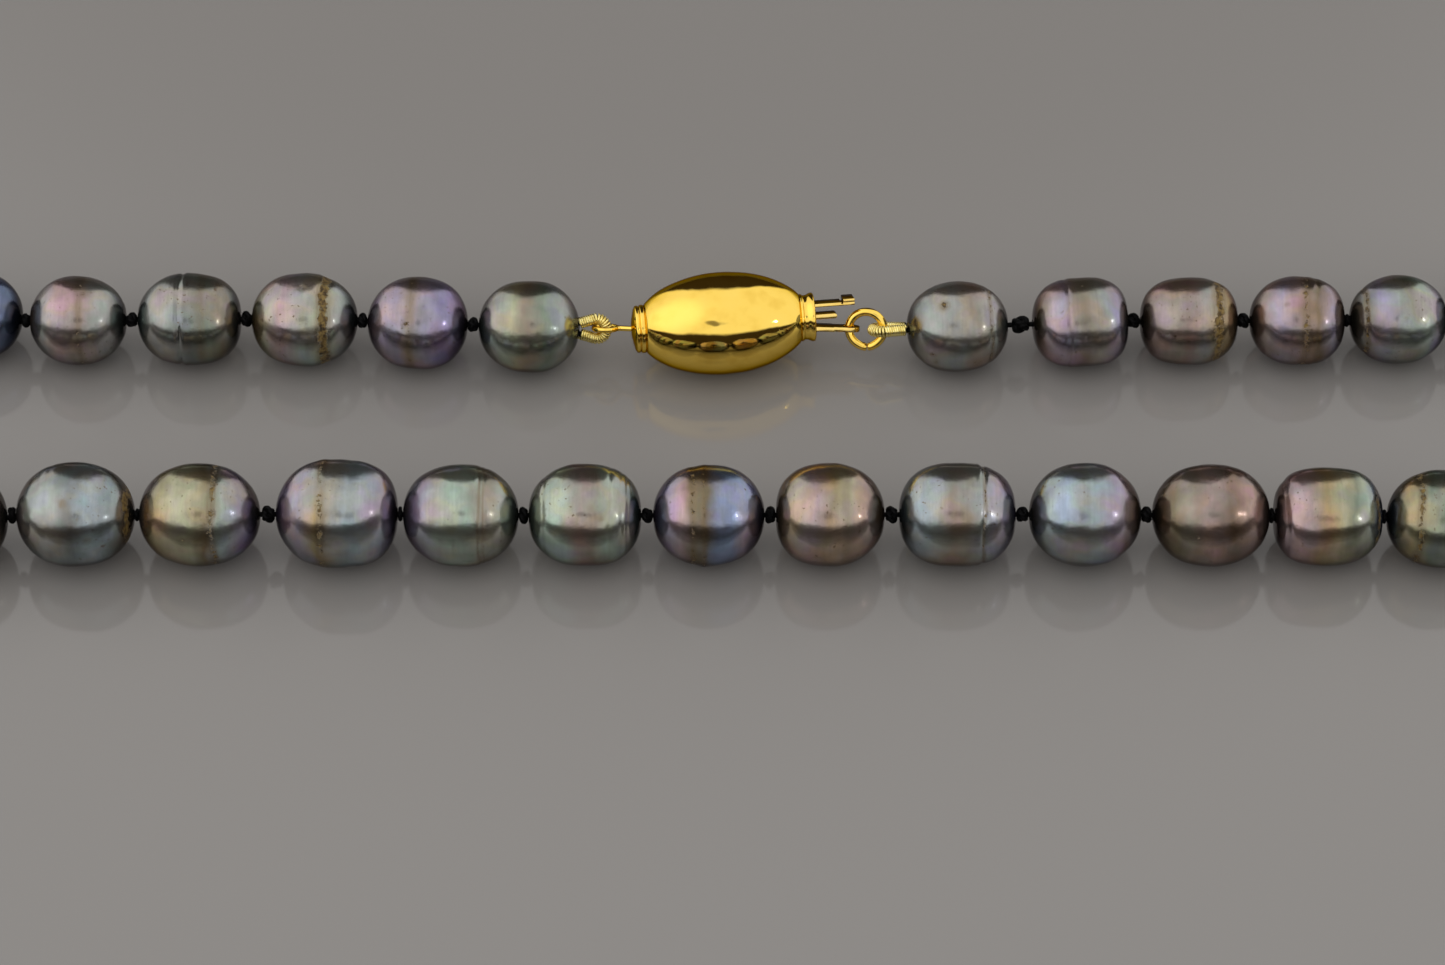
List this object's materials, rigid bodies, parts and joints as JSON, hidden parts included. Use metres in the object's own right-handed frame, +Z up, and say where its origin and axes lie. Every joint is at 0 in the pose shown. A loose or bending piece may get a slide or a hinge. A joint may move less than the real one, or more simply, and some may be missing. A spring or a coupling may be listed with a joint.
{
  "type": "pearl necklace",
  "caption": "Closed strand of drilled baroque pearls on hand-knotted silk, with wire-guarded ends and an olive-shaped tongue clasp that slides open.",
  "frame": {"origin": "middle of the necklace's outline, on the surface it lies on", "axes": "+X along the two parallel strands, +Y across them towards the clasp's strand, +Z up"},
  "size_m": [0.214, 0.0378, 0.009],
  "materials": {
    "gold": "mirror polish",
    "bullion_gold": "fine coiled wire",
    "black_silk": "twisted silk",
    "nacre_silver": "lustrous nacre",
    "nacre_green": "lustrous nacre",
    "nacre_violet": "lustrous nacre",
    "nacre_rose": "lustrous nacre",
    "nacre_bronze": "lustrous nacre"
  },
  "bodies": {
    "clasp": {"clasp_shell": "gold", "end_cap": "gold", "mouth_collar": "gold", "catch_plate": "gold", "left_eye": "gold"},
    "tongue": {"tongue_bar": "gold", "guard_tab": "gold"},
    "leaf": {"spring_leaf": "gold", "thumb_tab": "gold"},
    "jump_ring": {"jump_ring": "gold"},
    "pearl_01": {"pearl_01": "nacre_green", "bullion_left": "bullion_gold", "silk_core_left": "black_silk"},
    "pearl_02": {"pearl_02": "nacre_violet"},
    "pearl_03": {"pearl_03": "nacre_bronze"},
    "pearl_04": {"pearl_04": "nacre_green"},
    "pearl_05": {"pearl_05": "nacre_rose"},
    "pearl_06": {"pearl_06": "nacre_violet"},
    "pearl_07": {"pearl_07": "nacre_silver"},
    "pearl_08": {"pearl_08": "nacre_rose"},
    "pearl_09": {"pearl_09": "nacre_green"},
    "pearl_10": {"pearl_10": "nacre_bronze"},
    "pearl_11": {"pearl_11": "nacre_violet"},
    "pearl_12": {"pearl_12": "nacre_silver"},
    "pearl_13": {"pearl_13": "nacre_green"},
    "pearl_14": {"pearl_14": "nacre_rose"},
    "pearl_15": {"pearl_15": "nacre_silver"},
    "pearl_16": {"pearl_16": "nacre_bronze"},
    "pearl_17": {"pearl_17": "nacre_green"},
    "pearl_18": {"pearl_18": "nacre_bronze"},
    "pearl_19": {"pearl_19": "nacre_violet"},
    "pearl_20": {"pearl_20": "nacre_green"},
    "pearl_21": {"pearl_21": "nacre_green"},
    "pearl_42": {"pearl_42": "nacre_silver", "bullion_right": "bullion_gold", "silk_core_right": "black_silk"},
    "pearl_41": {"pearl_41": "nacre_rose"},
    "pearl_40": {"pearl_40": "nacre_rose"},
    "pearl_39": {"pearl_39": "nacre_rose"},
    "pearl_38": {"pearl_38": "nacre_silver"},
    "pearl_37": {"pearl_37": "nacre_violet"},
    "pearl_36": {"pearl_36": "nacre_silver"},
    "pearl_35": {"pearl_35": "nacre_bronze"},
    "pearl_34": {"pearl_34": "nacre_rose"},
    "pearl_33": {"pearl_33": "nacre_green"},
    "pearl_32": {"pearl_32": "nacre_silver"},
    "pearl_31": {"pearl_31": "nacre_violet"},
    "pearl_30": {"pearl_30": "nacre_bronze"},
    "pearl_29": {"pearl_29": "nacre_silver"},
    "pearl_28": {"pearl_28": "nacre_bronze"},
    "pearl_27": {"pearl_27": "nacre_bronze"},
    "pearl_26": {"pearl_26": "nacre_rose"},
    "pearl_25": {"pearl_25": "nacre_silver"},
    "pearl_24": {"pearl_24": "nacre_silver"},
    "pearl_23": {"pearl_23": "nacre_bronze"},
    "pearl_22": {"pearl_22": "nacre_violet"}
  },
  "joints": [
    {"name": "tongue_slide", "type": "slide", "parent": "clasp", "child": "tongue", "axis": [0.9954, 0.0958, 0], "range_m": [0, 0.0135]},
    {"name": "leaf_press", "type": "hinge", "parent": "tongue", "child": "leaf", "pos_m": [-0.00036, 0.0099, 0.00405], "axis": [-0.0765, 0.795, -0.6018], "range_deg": [0, 2], "stiffness_Nm_per_rad": 0.02},
    {"name": "ring_swing", "type": "hinge", "parent": "tongue", "child": "jump_ring", "pos_m": [0.01378, 0.01081, 0.00346], "axis": [0, 0, 1], "range_deg": [0, 5]},
    {"name": "link_left", "type": "hinge", "parent": "clasp", "child": "pearl_01", "pos_m": [-0.0078, 0.0102, 0.00415], "axis": [0, 0, 1], "range_deg": [-5, 0]},
    {"name": "knot_01_02", "type": "hinge", "parent": "pearl_01", "child": "pearl_02", "pos_m": [-0.01885, 0.01071, 0.00401], "axis": [0, 0, -1], "range_deg": [0, 12]},
    {"name": "knot_02_03", "type": "hinge", "parent": "pearl_02", "child": "pearl_03", "pos_m": [-0.02848, 0.01114, 0.00405], "axis": [0, 0, 1], "range_deg": [-12, 0]},
    {"name": "knot_03_04", "type": "hinge", "parent": "pearl_03", "child": "pearl_04", "pos_m": [-0.03858, 0.01135, 0.00404], "axis": [0, 0, -1], "range_deg": [0, 12]},
    {"name": "knot_04_05", "type": "hinge", "parent": "pearl_04", "child": "pearl_05", "pos_m": [-0.04854, 0.01135, 0.00394], "axis": [0, 0, 1], "range_deg": [-12, 0]},
    {"name": "knot_05_06", "type": "hinge", "parent": "pearl_05", "child": "pearl_06", "pos_m": [-0.05776, 0.01135, 0.00389], "axis": [0, 0, -1], "range_deg": [0, 12]},
    {"name": "knot_06_07", "type": "hinge", "parent": "pearl_06", "child": "pearl_07", "pos_m": [-0.06713, 0.01258, 0.00391], "axis": [0, 0, 1], "range_deg": [-12, 0]},
    {"name": "knot_07_08", "type": "hinge", "parent": "pearl_07", "child": "pearl_08", "pos_m": [-0.07678, 0.01407, 0.00396], "axis": [0, 0, -1], "range_deg": [0, 12]},
    {"name": "knot_08_09", "type": "hinge", "parent": "pearl_08", "child": "pearl_09", "pos_m": [-0.08651, 0.01556, 0.00397], "axis": [0, 0, 1], "range_deg": [-20, 0]},
    {"name": "knot_09_10", "type": "hinge", "parent": "pearl_09", "child": "pearl_10", "pos_m": [-0.0959, 0.01362, 0.00397], "axis": [0, 0, -1], "range_deg": [0, 20]},
    {"name": "knot_10_11", "type": "hinge", "parent": "pearl_10", "child": "pearl_11", "pos_m": [-0.10262, 0.00589, 0.00406], "axis": [0, 0, 1], "range_deg": [-20, 0]},
    {"name": "knot_11_12", "type": "hinge", "parent": "pearl_11", "child": "pearl_12", "pos_m": [-0.10317, -0.00398, 0.00414], "axis": [0, 0, -1], "range_deg": [-8.5, 20]},
    {"name": "knot_12_13", "type": "hinge", "parent": "pearl_12", "child": "pearl_13", "pos_m": [-0.09745, -0.01231, 0.00413], "axis": [0, 0, 1], "range_deg": [-20, 9]},
    {"name": "knot_13_14", "type": "hinge", "parent": "pearl_13", "child": "pearl_14", "pos_m": [-0.08741, -0.01533, 0.00415], "axis": [0, 0, -1], "range_deg": [-9.5, 20]},
    {"name": "knot_14_15", "type": "hinge", "parent": "pearl_14", "child": "pearl_15", "pos_m": [-0.07746, -0.01387, 0.00425], "axis": [0, 0, 1], "range_deg": [-12, 11]},
    {"name": "knot_15_16", "type": "hinge", "parent": "pearl_15", "child": "pearl_16", "pos_m": [-0.06693, -0.01224, 0.0043], "axis": [0, 0, -1], "range_deg": [-12, 12]},
    {"name": "knot_16_17", "type": "hinge", "parent": "pearl_16", "child": "pearl_17", "pos_m": [-0.05663, -0.01105, 0.00434], "axis": [0, 0, 1], "range_deg": [-12, 12]},
    {"name": "knot_17_18", "type": "hinge", "parent": "pearl_17", "child": "pearl_18", "pos_m": [-0.04618, -0.01105, 0.00434], "axis": [0, 0, -1], "range_deg": [-12, 12]},
    {"name": "knot_18_19", "type": "hinge", "parent": "pearl_18", "child": "pearl_19", "pos_m": [-0.0352, -0.01105, 0.0044], "axis": [0, 0, 1], "range_deg": [-12, 12]},
    {"name": "knot_19_20", "type": "hinge", "parent": "pearl_19", "child": "pearl_20", "pos_m": [-0.02415, -0.01105, 0.00439], "axis": [0, 0, -1], "range_deg": [-12, 12]},
    {"name": "knot_20_21", "type": "hinge", "parent": "pearl_20", "child": "pearl_21", "pos_m": [-0.01385, -0.01105, 0.00428], "axis": [0, 0, 1], "range_deg": [-12, 12]},
    {"name": "link_right", "type": "hinge", "parent": "jump_ring", "child": "pearl_42", "pos_m": [0.0164, 0.01045, 0.0037], "axis": [0, 0, 1], "range_deg": [0, 5]},
    {"name": "knot_41_42", "type": "hinge", "parent": "pearl_42", "child": "pearl_41", "pos_m": [0.02867, 0.01082, 0.00392], "axis": [0, 0, -1], "range_deg": [-12, 0]},
    {"name": "knot_40_41", "type": "hinge", "parent": "pearl_41", "child": "pearl_40", "pos_m": [0.03855, 0.01134, 0.00385], "axis": [0, 0, 1], "range_deg": [0, 12]},
    {"name": "knot_39_40", "type": "hinge", "parent": "pearl_40", "child": "pearl_39", "pos_m": [0.0481, 0.01135, 0.00382], "axis": [0, 0, -1], "range_deg": [-12, 0]},
    {"name": "knot_38_39", "type": "hinge", "parent": "pearl_39", "child": "pearl_38", "pos_m": [0.0571, 0.01135, 0.00385], "axis": [0, 0, 1], "range_deg": [0, 12]},
    {"name": "knot_37_38", "type": "hinge", "parent": "pearl_38", "child": "pearl_37", "pos_m": [0.06627, 0.01164, 0.0039], "axis": [0, 0, -1], "range_deg": [-12, 0]},
    {"name": "knot_36_37", "type": "hinge", "parent": "pearl_37", "child": "pearl_36", "pos_m": [0.076, 0.01354, 0.00393], "axis": [0, 0, 1], "range_deg": [0, 12]},
    {"name": "knot_35_36", "type": "hinge", "parent": "pearl_36", "child": "pearl_35", "pos_m": [0.08528, 0.01535, 0.00393], "axis": [0, 0, -1], "range_deg": [-20, 0]},
    {"name": "knot_34_35", "type": "hinge", "parent": "pearl_35", "child": "pearl_34", "pos_m": [0.09521, 0.01403, 0.00401], "axis": [0, 0, 1], "range_deg": [0, 20]},
    {"name": "knot_33_34", "type": "hinge", "parent": "pearl_34", "child": "pearl_33", "pos_m": [0.10224, 0.00693, 0.00409], "axis": [0, 0, -1], "range_deg": [-20, 0]},
    {"name": "knot_32_33", "type": "hinge", "parent": "pearl_33", "child": "pearl_32", "pos_m": [0.10352, -0.0028, 0.00408], "axis": [0, 0, 1], "range_deg": [-6.5, 20]},
    {"name": "knot_31_32", "type": "hinge", "parent": "pearl_32", "child": "pearl_31", "pos_m": [0.09819, -0.01179, 0.00411], "axis": [0, 0, -1], "range_deg": [-20, 7]},
    {"name": "knot_30_31", "type": "hinge", "parent": "pearl_31", "child": "pearl_30", "pos_m": [0.0888, -0.01534, 0.00421], "axis": [0, 0, 1], "range_deg": [-8, 20]},
    {"name": "knot_29_30", "type": "hinge", "parent": "pearl_30", "child": "pearl_29", "pos_m": [0.07856, -0.01374, 0.00426], "axis": [0, 0, -1], "range_deg": [-12, 9]},
    {"name": "knot_28_29", "type": "hinge", "parent": "pearl_29", "child": "pearl_28", "pos_m": [0.06812, -0.0117, 0.00419], "axis": [0, 0, 1], "range_deg": [-10.5, 12]},
    {"name": "knot_27_28", "type": "hinge", "parent": "pearl_28", "child": "pearl_27", "pos_m": [0.05816, -0.01105, 0.00413], "axis": [0, 0, -1], "range_deg": [-12, 12]},
    {"name": "knot_26_27", "type": "hinge", "parent": "pearl_27", "child": "pearl_26", "pos_m": [0.04875, -0.01105, 0.00421], "axis": [0, 0, 1], "range_deg": [-12, 12]},
    {"name": "knot_25_26", "type": "hinge", "parent": "pearl_26", "child": "pearl_25", "pos_m": [0.03827, -0.01105, 0.00432], "axis": [0, 0, -1], "range_deg": [-12, 12]},
    {"name": "knot_24_25", "type": "hinge", "parent": "pearl_25", "child": "pearl_24", "pos_m": [0.02787, -0.01105, 0.00436], "axis": [0, 0, 1], "range_deg": [-12, 12]},
    {"name": "knot_23_24", "type": "hinge", "parent": "pearl_24", "child": "pearl_23", "pos_m": [0.01694, -0.01105, 0.00435], "axis": [0, 0, -1], "range_deg": [-12, 12]},
    {"name": "knot_22_23", "type": "hinge", "parent": "pearl_23", "child": "pearl_22", "pos_m": [0.00678, -0.01105, 0.00429], "axis": [0, 0, 1], "range_deg": [-12, 12]}
  ]
}
